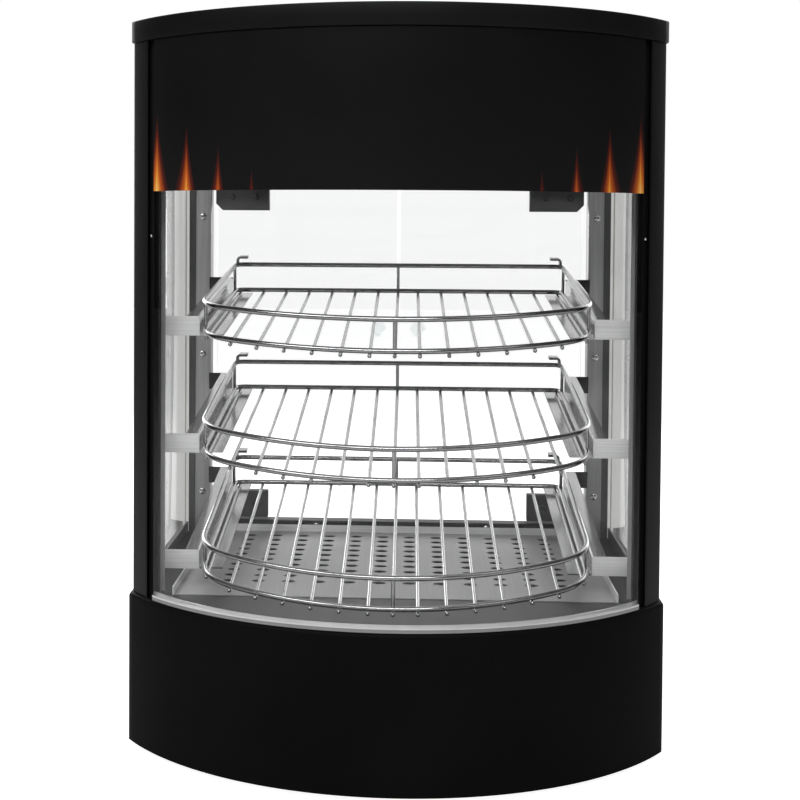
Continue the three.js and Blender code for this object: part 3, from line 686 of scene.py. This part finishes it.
def make_posts():
    """Corner posts, uprights and side glass, with the seals, liners and screws between them. The seals and
    liners glow though they are no lamps (painted light), and a dark strip on each upright is painted shade.
    """
    post_lo, post_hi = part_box("front_post_right")
    upright_lo, upright_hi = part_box("rear_upright_right")
    rear_lo, rear_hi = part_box("rear_post_right")
    z0, z1 = post_lo.z, post_hi.z
    half = post_hi.x / MM
    seat = (GLASS_R / MM) - 1.5
    bow = BOW_R / MM
    centre = BOW_Y / MM
    y_on = lambda x, r: centre - math.sqrt(r * r - x * x)
    for name, side in SIDES:
        post = bmesh.new()
        across = [half + (FACE_END - half) * k / 6 for k in range(7)]
        face = [(x, y_on(x, bow)) for x in across]
        add_outline(post, face + [(FACE_END, -84), (REBATE, -77), (REBATE, -66), (REBATE_BACK, -66),
                                  (REBATE_BACK, -54), (half, -54)],
                    z0, z1, side, 0.45 * MM)
        finish_piece(f"corner_post_{name}", post, BLACK, stands_for=[f"front_post_{name}"])
        gasket = bmesh.new()
        behind = seat - 3.2
        add_outline(gasket, [(GASKET_OUT, y_on(GASKET_OUT, seat) + 0.4),
                             (GASKET_STEP, y_on(GASKET_STEP, seat)), (GASKET_STEP, y_on(GASKET_STEP, behind)),
                             (GASKET_IN, y_on(GASKET_IN, behind)),
                             (GASKET_IN, -88), (GASKET_OUT, -84)], z0, z1, side)
        finish_piece(f"window_gasket_{name}", gasket, RUBBER)
        lip = bmesh.new()
        add_outline(lip, [(173.5, -75.6), (189, -75.6), (189, -74.4), (173.5, -74.4)], z0, z1, side)
        finish_piece(f"post_inner_lip_{name}", lip, STEEL_Z)
        liner = bmesh.new()
        # The liner and the two seals below take the glowing finish: painted light that makes the corners read
        # bright.
        add_outline(liner, [(193.8, 146), (193.8, 173.3), (190.4, 173.3), (190.4, 172.9),
                            (193.4, 172.9), (193.4, 146)], rear_lo.z, rear_hi.z, side)
        finish_piece(f"rear_corner_glowing_liner_{name}", liner, GLOWING_SEAL)
        seal = bmesh.new()
        add_outline(seal, [(194.2, 144.1), (196.8, 144.1), (196.8, 144.8), (194.2, 144.8)],
                    rear_lo.z, rear_hi.z, side)
        finish_piece(f"rear_pane_glowing_seal_{name}", seal, GLOWING_SEAL)
        edge_seal = bmesh.new()
        add_outline(edge_seal, [(187.5, 155.9), (189.6, 155.9), (189.6, 156.8), (187.5, 156.8)],
                    upright_lo.z, upright_hi.z, side)
        finish_piece(f"upright_edge_glowing_seal_{name}", edge_seal, GLOWING_SEAL)
        # A thin dark strip on the upright's outer edge: painted shade where the fold turns away from the
        # light.
        fold = bmesh.new()
        add_outline(fold, [(181.6, 156.3), (187.3, 156.3), (187.3, 156.9), (181.6, 156.9)],
                    upright_lo.z, upright_hi.z, side)
        finish_piece(f"upright_painted_shade_strip_{name}", fold, FOLD_SHADE_STEEL)
        seat_strip = bmesh.new()
        x_lo, x_hi = sorted((side * 187.6 * MM, side * 189.5 * MM))
        add_block(seat_strip, (x_lo, -63 * MM, BASE_HI.z + 0.3 * MM),
                  (x_hi, 156 * MM, BASE_HI.z + 9.5 * MM), 0.4 * MM)
        finish_piece(f"side_glass_channel_{name}", seat_strip, DARK_STEEL_AND_SHADE)
        rear = bmesh.new()
        r0, r1 = rear_lo.x / MM, rear_hi.x / MM
        y0, y1 = rear_lo.y / MM, rear_hi.y / MM
        add_outline(rear, [(r1, y0), (r1, y1), (r0, y1), (r0, y1 - 1.5), (r1 - 3, y1 - 1.5), (r1 - 3, y0)],
                    rear_lo.z, rear_hi.z, side, 0.4 * MM)
        finish_piece(f"rear_corner_{name}", rear, BLACK, stands_for=[f"rear_post_{name}"])
        upright = bmesh.new()
        u0, u1 = upright_lo.x / MM, upright_hi.x / MM
        v0, v1 = upright_lo.y / MM, upright_hi.y / MM
        add_outline(upright, [(u0, v0), (u1, v0), (u1, v0 + 1.5), (u0 + 1.5, v0 + 1.5),
                              (u0 + 1.5, v1), (u0, v1)],
                    upright_lo.z, upright_hi.z, side, 0.35 * MM)
        finish_piece(f"steel_upright_{name}", upright, STEEL_Z, stands_for=[f"rear_upright_{name}"])
        glass = bmesh.new()
        g_lo, g_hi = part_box(f"side_glass_{name}")
        add_block(glass, g_lo, g_hi, 0.5 * MM, 2)
        finish_piece(f"side_pane_{name}", glass, GLASS, stands_for=[f"side_glass_{name}"])
        screws = bmesh.new()
        for z in UPRIGHT_SCREWS_Z:
            add_pan_screw(screws, facing_front(side * 175 * MM, upright_lo.y, z * MM), 3.2 * MM)
        on_seat = facing_front(side * 180.6 * MM, (y_on(180.6, seat) + 0.1) * MM, 386 * MM)
        add_pan_screw(screws, on_seat, 1.2 * MM)
        finish_piece(f"upright_screws_{name}", screws, CHROME)


# ---- shelves -----------------------------------------------------------------------------
def shelf_matrix(level):
    """Places a shelf, drawn level about its own origin, in its tilted position."""
    _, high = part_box(f"basket_{level}_grate")
    tilt = math.radians(TILTS[level])
    z = high.z - (BASKET_REAR - RAIL_R) * math.sin(tilt) - RAIL_R
    return Matrix.Translation((0, 0, z)) @ Matrix.Rotation(tilt, 4, "X")


def basket_loop(z):
    """The rail's path: straight back and sides, rounded front corners, bowed front."""
    half = BASKET_HALF - RAIL_R
    rear = BASKET_REAR - RAIL_R
    front = BASKET_FRONT + RAIL_R
    side_end = -72 * MM
    right = [Vector((0, rear, z))]
    corner = 8 * MM
    for k in range(7):
        a = math.pi / 2 * (1 - k / 6)
        right.append(Vector((half - corner + corner * math.cos(a), rear - corner + corner * math.sin(a), z)))
    right.append(Vector((half, 40 * MM, z)))
    bend = ((half, side_end), (half, -96 * MM), (134 * MM, -112 * MM), (118 * MM, -124 * MM))
    bow = ((118 * MM, -124 * MM), (88 * MM, -146 * MM), (46 * MM, front), (0.0, front))
    for curve, steps in ((bend, 10), (bow, 16)):
        for k in range(steps + 1):
            t = k / steps
            weights = ((1 - t) ** 3, 3 * t * (1 - t) ** 2, 3 * t * t * (1 - t), t ** 3)
            x = sum(w * p[0] for w, p in zip(weights, curve))
            y = sum(w * p[1] for w, p in zip(weights, curve))
            if not right or (Vector((x, y, z)) - right[-1]).length > 1e-6:
                right.append(Vector((x, y, z)))
    left = [Vector((-p.x, p.y, p.z)) for p in reversed(right[1:-1])]
    return right + left


def front_rail_y(x):
    """Where the front of the rail is at this x, read off its own path."""
    path = [p for p in basket_loop(0.0) if p.y < 0 and p.x >= 0]
    path.sort(key=lambda p: p.x)
    x = abs(x)
    for a, b in zip(path, path[1:]):
        if a.x <= x <= b.x and b.x > a.x:
            return a.y + (b.y - a.y) * (x - a.x) / (b.x - a.x)
    return path[-1].y


def make_basket(level):
    place = shelf_matrix(level)
    body = f"basket_{level}"
    grate = bmesh.new()
    add_wire(grate, basket_loop(0.0), RAIL_R, closed=True, sides=16)
    drop = -(RAIL_R + RUNG_R) + 0.3 * MM
    for x in RUNG_X:
        front = front_rail_y(x) - 2.4 * MM
        back = BASKET_REAR - 0.6 * MM
        add_wire(grate, [Vector((x, front, drop)), Vector((x, back, drop))], RUNG_R)
        for y in (front, back):
            ball = bmesh.new()
            bmesh.ops.create_uvsphere(ball, u_segments=12, v_segments=8, radius=RUNG_R * 1.12)
            absorb(grate, ball, Matrix.Translation((x, y, drop)))
    bmesh.ops.transform(grate, matrix=place, verts=grate.verts)
    finish_piece(f"{body}_wire_grate", grate, WIRE_CHROME, body, [f"{body}_grate"], sharp=60)

    guard = bmesh.new()
    add_wire(guard, basket_loop(RAIL_RISE), RAIL_R, closed=True, sides=16)
    low = RAIL_R * 0.4
    half = BASKET_HALF - RAIL_R
    stays = [(0.0, BASKET_FRONT + RAIL_R), (0.0, BASKET_REAR - RAIL_R)]
    for _, side in SIDES:
        stays += [(side * half, BASKET_REAR - 14 * MM), (side * half, -74 * MM)]
    for x, y in stays:
        add_wire(guard, [Vector((x, y, low)), Vector((x, y, RAIL_RISE))], RUNG_R)
    for _, side in SIDES:
        x = side * (BASKET_HALF - 4 * MM)
        y = BASKET_REAR - 5.5 * MM
        add_hook(guard, x, y, side)
    bmesh.ops.transform(guard, matrix=place, verts=guard.verts)
    finish_piece(f"{body}_wire_guard", guard, WIRE_CHROME, body, [f"{body}_guard"], sharp=60)


def add_hook(bm, x, y, side):
    """A flat tab that stands on the top rail's rear corner and bends inwards."""
    top = RAIL_RISE + 7.1 * MM
    path = rounded([(x, 0, RAIL_RISE - 1 * MM), (x, 0, top), (x - side * 9 * MM, 0, top)],
                   [0, 2.6 * MM, 0], steps=5)
    add_sheet(bm, path, 2.2 * MM, y - 4.5 * MM, y + 4.5 * MM)


def make_support(level, name, side):
    """A folded bright bar (ledge, web, top flange) between a front foot whitened as painted light and a rear
    foot darkened as painted shade.
    """
    place = shelf_matrix(level)
    node = f"shelf_support_{level}_{name}"
    t = 1.2 * MM
    front, rear = -73 * MM, 156 * MM
    low, high = -5.9 * MM, 9 * MM
    fold = rounded([(side * 130 * MM, 0, low + t / 2), (side * 148.4 * MM, 0, low + t / 2),
                    (side * 148.4 * MM, 0, high - t / 2), (side * 158 * MM, 0, high - t / 2)],
                   [0, 1.4 * MM, 1.4 * MM, 0], steps=4)
    bar = bmesh.new()
    add_sheet(bar, fold, t, front + t, rear - t)
    bmesh.ops.transform(bar, matrix=place, verts=bar.verts)
    finish_piece(f"shelf_bracket_{level}_{name}", bar, BRIGHT_STEEL, stands_for=[node])
    # The front foot is whitened (painted light) and the rear foot darkened (painted shade); both are the same
    # sheet as the bar.
    for part, x_out, y0, finish in (("front", 177 * MM, front, PAINTED_LIGHT_STEEL),
                                    ("rear", 169 * MM, rear - t, DARK_STEEL_AND_SHADE)):
        foot = bmesh.new()
        lo_x, hi_x = sorted((side * 147.8 * MM, side * x_out))
        add_block(foot, (lo_x, y0, low), (hi_x, y0 + t, high), 0.4 * MM, 2)
        bmesh.ops.transform(foot, matrix=place, verts=foot.verts)
        finish_piece(f"bracket_{part}_foot_{level}_{name}", foot, finish)


# ---- doors -------------------------------------------------------------------------------
PIN_ROOM = 5.5 * MM                      # part of a clamp's box that its pivot pin takes up
PIVOT_X = 158 * MM
CORNER_CUT = 6 * MM


def make_door(name, side):
    """One glass door with its two clamps, their pins and screws, and its knob."""
    body = f"door_{name}"
    lo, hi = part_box(f"door_glass_{name}")
    pane = bmesh.new()
    add_block(pane, lo, hi, 0.6 * MM, 2)
    finish_piece(f"{body}_pane", pane, GLASS, body, [f"door_glass_{name}"])
    for end in ("lower", "upper"):
        c_lo, c_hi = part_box(f"door_clamp_{name}_{end}")
        up = end == "upper"
        if up:
            c_hi.z -= PIN_ROOM
        else:
            c_lo.z += PIN_ROOM
        clamp = bmesh.new()
        for y0, y1 in ((c_lo.y, lo.y - 0.3 * MM), (hi.y + 0.3 * MM, c_hi.y)):
            plate = bmesh.new()
            outer = c_lo.x if side < 0 else c_hi.x
            inner = c_hi.x if side < 0 else c_lo.x
            toward = 1 if side < 0 else -1
            far_z = c_lo.z if up else c_hi.z
            near_z = c_hi.z if up else c_lo.z
            step = 1 if up else -1
            ring = [(outer, near_z), (inner, near_z), (inner, far_z),
                    (outer + toward * CORNER_CUT, far_z), (outer, far_z + step * CORNER_CUT)]
            verts = [plate.verts.new((x, y0, z)) for x, z in ring]
            plate.faces.new(verts)
            grown = bmesh.ops.extrude_face_region(plate, geom=list(plate.faces), use_keep_orig=True)
            moved = [g for g in grown["geom"] if isinstance(g, bmesh.types.BMVert)]
            bmesh.ops.translate(plate, vec=(0, y1 - y0, 0), verts=moved)
            bmesh.ops.recalc_face_normals(plate, faces=plate.faces)
            bevel(plate, plate.edges, 0.4 * MM, 2)
            absorb(clamp, plate)
        axis_x = side * PIVOT_X
        pin_z = c_hi.z - 1 * MM if up else c_lo.z - PIN_ROOM
        add_turned(clamp, [(0, 0), (2.3 * MM, 0), (2.5 * MM, 0.3 * MM), (2.5 * MM, 6.5 * MM), (0, 6.5 * MM)],
                   Matrix.Translation((axis_x, (lo.y + hi.y) / 2, pin_z)))
        bridge_z = (c_hi.z - 1.1 * MM, c_hi.z) if up else (c_lo.z, c_lo.z + 1.1 * MM)
        add_block(clamp, (c_lo.x + 0.5 * MM, c_lo.y + 1 * MM, bridge_z[0]),
                  (c_hi.x - 0.5 * MM, c_hi.y - 1 * MM, bridge_z[1]))
        finish_piece(f"{body}_hinge_{end}", clamp, CLAMP_STEEL, body, [f"door_clamp_{name}_{end}"])
        screws, clamp_nuts = bmesh.new(), bmesh.new()
        for k in (0.3, 0.75):
            x = c_lo.x + (c_hi.x - c_lo.x) * k
            z = (c_lo.z + c_hi.z) / 2
            add_pan_screw(screws, facing_back(x, c_hi.y, z), 3 * MM)
            add_pan_screw(clamp_nuts, facing_front(x, c_lo.y, z), 3 * MM)
        finish_piece(f"{body}_hinge_screws_{end}", screws, CHROME, body)
        finish_piece(f"{body}_hinge_nuts_{end}", clamp_nuts, SHEATH, body)
    k_lo, k_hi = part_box(f"door_knob_{name}")
    centre = (k_lo + k_hi) / 2
    knob = bmesh.new()
    add_turned(knob, [(r * MM, h * MM) for r, h in (
        (0, 0), (5, 0), (4.6, 1), (4.2, 5), (5.4, 7.4), (6.8, 9), (7, 11.6), (6.2, 13.4), (4, 14), (0, 14))],
               facing_back(centre.x, k_lo.y, centre.z))
    finish_piece(f"{body}_pull_knob", knob, ACRYLIC, body, [f"door_knob_{name}"])


# ---- camera, lights and stage ------------------------------------------------------------
SKY_RAMP = (0.45, 0.97, 0.05, 0.97)       # direction y: from, to; strength: in front, behind
FLOOR_GLOW = 0.95                        # seen by the camera only, so the floor stays near white
LAMPS = (
    ("key_left", (-1.5, -1.3, 2.0), (1.2, 0.9), 20),
    ("key_right", (1.5, -1.2, 2.0), (0.9, 0.8), 4),
    ("front_soft", (-0.1, -1.9, 1.7), (1.6, 0.6), 22),
    ("top_soft", (0, -0.1, 2.1), (1.4, 1.4), 12),
    ("back_left", (-0.9, 1.5, 0.8), (0.9, 1.2), 12),
    ("back_right", (0.9, 1.5, 0.8), (0.9, 1.2), 6),
)


CAMERA_AT = (0.0093, -1.2711, 0.3974)
CAMERA_HEADING, CAMERA_PITCH, CAMERA_ROLL = 0.0559, -0.0335, -0.0059


def make_camera():
    data = bpy.data.cameras.new("camera")
    data.lens = 72.0
    data.sensor_width = 36.0
    data.shift_x = 0.1009
    data.shift_y = -0.156
    camera = bpy.data.objects.new("camera", data)
    turn = Matrix.Rotation(CAMERA_HEADING, 4, "Z") @ Matrix.Rotation(CAMERA_PITCH, 4, "X")
    turn = turn @ Matrix.Rotation(CAMERA_ROLL, 4, "Y") @ Matrix.Rotation(math.pi / 2, 4, "X")
    camera.matrix_world = Matrix.Translation(CAMERA_AT) @ turn
    bpy.context.scene.collection.objects.link(camera)
    bpy.context.scene.camera = camera


def add_light(name, where, target, size, power, colour=(1, 1, 1)):
    data = bpy.data.lights.new(name, "AREA")
    data.shape = "RECTANGLE"
    data.size, data.size_y = size
    data.energy = power
    data.color = colour
    lamp = bpy.data.objects.new(name, data)
    lamp.location = where
    lamp.rotation_mode = "QUATERNION"
    lamp.rotation_quaternion = (Vector(target) - Vector(where)).to_track_quat("-Z", "Y")
    bpy.context.scene.collection.objects.link(lamp)


def make_stage():
    """A pale seamless floor, a sky that is bright behind and dim in front, and soft lamps."""
    world = bpy.data.worlds.new("studio")
    world.use_nodes = True
    nodes, links = world.node_tree.nodes, world.node_tree.links
    nodes.clear()
    path = nodes.new("ShaderNodeLightPath")
    seen = nodes.new("ShaderNodeBackground")
    seen.inputs[1].default_value = 1.0
    lit = nodes.new("ShaderNodeBackground")
    direction = nodes.new("ShaderNodeTexCoord")
    split = nodes.new("ShaderNodeSeparateXYZ")
    ramp = nodes.new("ShaderNodeMapRange")
    ramp.interpolation_type = "SMOOTHSTEP"
    for socket, value in zip(list(ramp.inputs)[1:5], SKY_RAMP):
        socket.default_value = value
    mix = nodes.new("ShaderNodeMixShader")
    out = nodes.new("ShaderNodeOutputWorld")
    for background in (seen, lit):
        background.inputs[0].default_value = (1, 1, 1, 1)
    links.new(direction.outputs["Generated"], split.inputs[0])
    links.new(split.outputs["Y"], ramp.inputs[0])
    links.new(ramp.outputs[0], lit.inputs[1])
    links.new(path.outputs["Is Camera Ray"], mix.inputs[0])
    links.new(lit.outputs[0], mix.inputs[1])
    links.new(seen.outputs[0], mix.inputs[2])
    links.new(mix.outputs[0], out.inputs[0])
    bpy.context.scene.world = world

    floor = bmesh.new()
    bmesh.ops.create_grid(floor, x_segments=1, y_segments=1, size=6.0)
    mesh = bpy.data.meshes.new("pale_floor")
    floor.to_mesh(mesh)
    floor.free()
    f = Finish("pale_floor")
    diffuse = f.node("ShaderNodeBsdfDiffuse", inputs=[(0.75, 0.75, 0.75, 1.0)])
    glow = f.node("ShaderNodeEmission", inputs=[(1, 1, 1, 1), f.node("ShaderNodeLightPath") * FLOOR_GLOW])
    mesh.materials.append(f.output(f.node("ShaderNodeAddShader", inputs=[diffuse, glow])))
    made = bpy.data.objects.new("pale_floor", mesh)
    bpy.context.scene.collection.objects.link(made)

    bpy.context.scene.view_settings.view_transform = "Standard"
    for name, where, size, power in LAMPS:
        add_light(name, where, (0, 0, 0.28), size, power)


def soften(name, node, width, material, body="root"):
    """The shape of a CAD node with its hard edges eased."""
    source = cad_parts[node]
    bm = bmesh.new()
    bm.from_mesh(source.data)
    bmesh.ops.transform(bm, matrix=source.matrix_world, verts=bm.verts)
    bmesh.ops.remove_doubles(bm, verts=bm.verts, dist=1e-6)
    bmesh.ops.dissolve_limit(bm, angle_limit=math.radians(1), verts=bm.verts, edges=bm.edges)
    hard = [e for e in bm.edges if len(e.link_faces) == 2 and e.calc_face_angle(0) > math.radians(30)]
    bevel(bm, hard, width)
    bmesh.ops.recalc_face_normals(bm, faces=bm.faces)
    finish_piece(name, bm, material, body, [node])


def middle_of(node):
    lo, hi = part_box(node)
    return (lo + hi) / 2


DIAL_TICKS = 11
DIAL_START, DIAL_TICK_STEP = -135, 27    # degrees


def make_controls():
    """Dial, rockers, pilot lamp and gland on the panel at the back of the base."""
    face = PANEL_LO.y + 1.5 * MM
    z = middle_of("thermostat_knob").z
    soften("control_plate", "control_panel", 0.25 * MM, BLACK)
    for switch in ("power", "light"):
        soften(f"{switch}_rocker_cap", f"{switch}_rocker", 0.3 * MM, PLASTIC, f"{switch}_switch")
    marks = bmesh.new()
    for switch in ("power", "light"):
        x = middle_of(f"{switch}_rocker").x
        add_turned(marks, [(r * MM, h * MM) for r, h in (
            (2.6, 0), (3.2, 0), (3.2, 0.15), (2.6, 0.15), (2.6, 0))], facing_back(x, face, z - 18 * MM))
        add_block(marks, (x - 0.3 * MM, face, z + 15.5 * MM), (x + 0.3 * MM, face + 0.15 * MM, z + 20.5 * MM))
    dial_x = middle_of("thermostat_knob").x
    for k in range(DIAL_TICKS):
        a = math.radians(DIAL_START + DIAL_TICK_STEP * k)
        long = 4.2 if k % 5 == 0 else 2.6
        tick = bmesh.new()
        add_block(tick, (-0.35 * MM, 20 * MM, 0), (0.35 * MM, (20 + long) * MM, 0.15 * MM))
        absorb(marks, tick, facing_back(dial_x, face, z) @ Matrix.Rotation(math.pi + a, 4, "Z"))
    finish_piece("panel_marks", marks, MARKING)

    dial = bmesh.new()
    reach = (KNOB_HI.y - KNOB_LO.y) / MM
    add_turned(dial, [(x * MM, h * MM) for x, h in (
        (0, 0), (16.6, 0), (17, 0.5), (17, 3.2), (16.4, 4), (14.2, 5), (13.7, 6), (13.0, reach - 1.2),
        (12.2, reach - 0.3), (11, reach), (9.5, reach - 0.5), (0, reach - 0.5))], steps=144)
    for v in dial.verts:
        r = math.hypot(v.co.x, v.co.y)
        if r > 12.5 * MM and 5.5 * MM < v.co.z < (reach - 0.8) * MM:
            flute = 1 - 0.045 * max(0.0, math.cos(24 * math.atan2(v.co.y, v.co.x)))
            v.co.x *= flute
            v.co.y *= flute
    bmesh.ops.transform(dial, matrix=facing_back(dial_x, KNOB_LO.y, z), verts=dial.verts)
    finish_piece("dial_cap", dial, PLASTIC, "thermostat_dial", ["thermostat_knob"], sharp=50)
    pointer = bmesh.new()
    add_block(pointer, (-0.6 * MM, 3.5 * MM, 0), (0.6 * MM, 9.3 * MM, 0.25 * MM), 0.08 * MM, 1)
    bmesh.ops.transform(pointer, matrix=facing_back(dial_x, KNOB_HI.y - 0.5 * MM, z)
                        @ Matrix.Rotation(math.pi - math.radians(135), 4, "Z"), verts=pointer.verts)
    finish_piece("dial_pointer", pointer, MARKING, "thermostat_dial")

    pilot_x = middle_of("pilot_lamp").x
    base_y = PANEL_LO.y
    pilot = bmesh.new()
    add_turned(pilot, [(r * MM, h * MM) for r, h in (
        (0, -8), (4, -8), (4, 1.8), (6, 1.8), (6, 3), (5.6, 3.9), (4.6, 5.0), (3.2, 5.8), (1.6, 6.1),
        (0, 6.2))],
        facing_back(pilot_x, base_y, z), 40)
    finish_piece("pilot_lens", pilot, AMBER, stands_for=["pilot_lamp"])
    ring = bmesh.new()
    add_turned(ring, [(r * MM, h * MM) for r, h in (
        (6.2, 0), (8.4, 0), (8.4, 0.5), (7.8, 1.3), (6.8, 1.6), (6.2, 1.3), (6.2, 0))],
        facing_back(pilot_x, face, z), 40)
    finish_piece("pilot_bezel", ring, CHROME)

    gland_x = middle_of("cord_gland").x
    gland = bmesh.new()
    add_turned(gland, [(r * MM, h * MM) for r, h in (
        (3.6, -12), (6.5, -12), (6.5, 1.8), (10, 1.8), (10, 4.6), (9.4, 5.2), (8.2, 5.4), (7.9, 7),
        (7.4, 7.2), (7.2, 8.6), (6.8, 8.8), (6.6, 10.2), (6.1, 10.4),
        (5.8, 12), (5.0, 12.9), (3.6, 13), (3.6, -12))],
        facing_back(gland_x, base_y, z), 40)
    finish_piece("gland_sleeve", gland, RUBBER, stands_for=["cord_gland"])

    screws = bmesh.new()
    for x in (PANEL_LO.x + 6 * MM, PANEL_HI.x - 6 * MM):
        for height in (PANEL_LO.z + 6 * MM, PANEL_HI.z - 6 * MM):
            add_pan_screw(screws, facing_back(x, face, height), 2.4 * MM)
    finish_piece("panel_screws", screws, CHROME)


LOUVRE_PITCH = 30 * MM
LOUVRE_STEP = 12 * MM
LOUVRE_FOOT = 470 * MM                   # height of the lowest row
LOUVRE_HALF = 11 * MM


def make_back_frame():
    """Sill and top rail of the door opening, with louvres, screws and pivot bushes."""
    soften("door_sill", "rear_sill", 0.3 * MM, SILL_STEEL)
    soften("door_head_rail", "rear_top_rail", 0.3 * MM, BLACK)
    louvres = bmesh.new()
    for row in range(3):
        for column in range(-3, 4):
            x, z = column * LOUVRE_PITCH, LOUVRE_FOOT + row * LOUVRE_STEP
            hood = bmesh.new()
            add_block(hood, (x - LOUVRE_HALF, RAIL_HI.y - 0.2 * MM, z),
                      (x + LOUVRE_HALF, RAIL_HI.y + 1.5 * MM, z + 4.5 * MM))
            lower = [v for v in hood.verts if v.co.z > z + 1 * MM and v.co.y > RAIL_HI.y]
            bmesh.ops.translate(hood, vec=(0, -1.3 * MM, 0), verts=lower)
            bevel(hood, hood.edges, 0.35 * MM, 2)
            absorb(louvres, hood)
    finish_piece("lamp_space_louvres", louvres, BLACK)
    screws = bmesh.new()
    for x in (-158, -60, 60, 158):
        add_pan_screw(screws, facing_back(x * MM, RAIL_HI.y, 520 * MM), 2.6 * MM)
    for x in (-72, 80):
        add_pan_screw(screws, facing_front(x * MM, SILL_LO.y, 124.5 * MM), 2.6 * MM)
    for _, side in SIDES:
        for z in (150, 290, 500):
            add_pan_screw(screws, facing_back(side * 181 * MM, BASE_HI.y, z * MM), 2.4 * MM)
    finish_piece("back_frame_screws", screws, CHROME)
    for name, _ in SIDES:
        for end in ("lower", "upper"):
            lo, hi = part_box(f"pivot_bush_{name}_{end}")
            outer = (hi.x - lo.x) / 2
            bore = 2.8 * MM
            height = hi.z - lo.z
            bush = bmesh.new()
            add_turned(bush, [(bore, 0), (outer - 0.3 * MM, 0), (outer, 0.3 * MM), (outer, height - 0.3 * MM),
                              (outer - 0.3 * MM, height), (bore, height), (bore, 0)],
                       Matrix.Translation(((lo.x + hi.x) / 2, (lo.y + hi.y) / 2, lo.z)), 36)
            finish_piece(f"pivot_collar_{name}_{end}", bush, NYLON, stands_for=[f"pivot_bush_{name}_{end}"])


def make_underside():
    """Rubber feet with a dished sole, and the screws of the bottom plate."""
    for end in ("front", "rear"):
        for name, _ in SIDES:
            lo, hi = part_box(f"foot_{end}_{name}")
            r = (hi.x - lo.x) / 2
            h = hi.z - lo.z
            foot = bmesh.new()
            add_turned(foot, [(0, 1.2 * MM), (3.4 * MM, 1.2 * MM), (3.6 * MM, 0),
                              (r - 2.2 * MM, 0), (r - 0.6 * MM, 0.8 * MM),
                              (r, 2.2 * MM), (r, h - 0.3 * MM), (r - 0.3 * MM, h), (0, h)],
                       Matrix.Translation(((lo.x + hi.x) / 2, (lo.y + hi.y) / 2, lo.z)), 40)
            finish_piece(f"rubber_foot_{end}_{name}", foot, RUBBER, stands_for=[f"foot_{end}_{name}"])
    plate_lo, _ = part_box("bottom_plate")
    screws = bmesh.new()
    for x in (-175, -60, 60, 175):
        for y in (-60, 155):
            under = Matrix.Translation((x * MM, y * MM, plate_lo.z)) @ Matrix.Rotation(math.pi, 4, "X")
            add_pan_screw(screws, under)
    finish_piece("bottom_screws", screws, GALVANISED)


def dress_frame():
    """CAD nodes whose shape is right keep it and take a better finish."""
    finishes = {
        # The heat shield takes the near-black finish: painted shade under the floor.
        "bottom_plate": GALVANISED, "heat_shield": UNDERFLOOR_SHADE, "element_clip_front": GALVANISED,
        "element_clip_rear": GALVANISED, "ceiling_panel": STEEL_X, "heating_element": SHEATH,
        "lamp_holder": CERAMIC, "lamp_bulb": ACRYLIC, "thermostat_body": PLASTIC,
    }
    for node, material in finishes.items():
        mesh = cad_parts[node].data
        mesh.materials.clear()
        mesh.materials.append(material)


make_camera()
make_stage()
make_base()
make_deck_and_floor()
make_glass_channel()
make_front()
make_posts()
for level in LEVELS:
    make_basket(level)
    for name, side in SIDES:
        make_support(level, name, side)
for name, side in SIDES:
    make_door(name, side)
make_controls()
make_back_frame()
make_underside()
dress_frame()
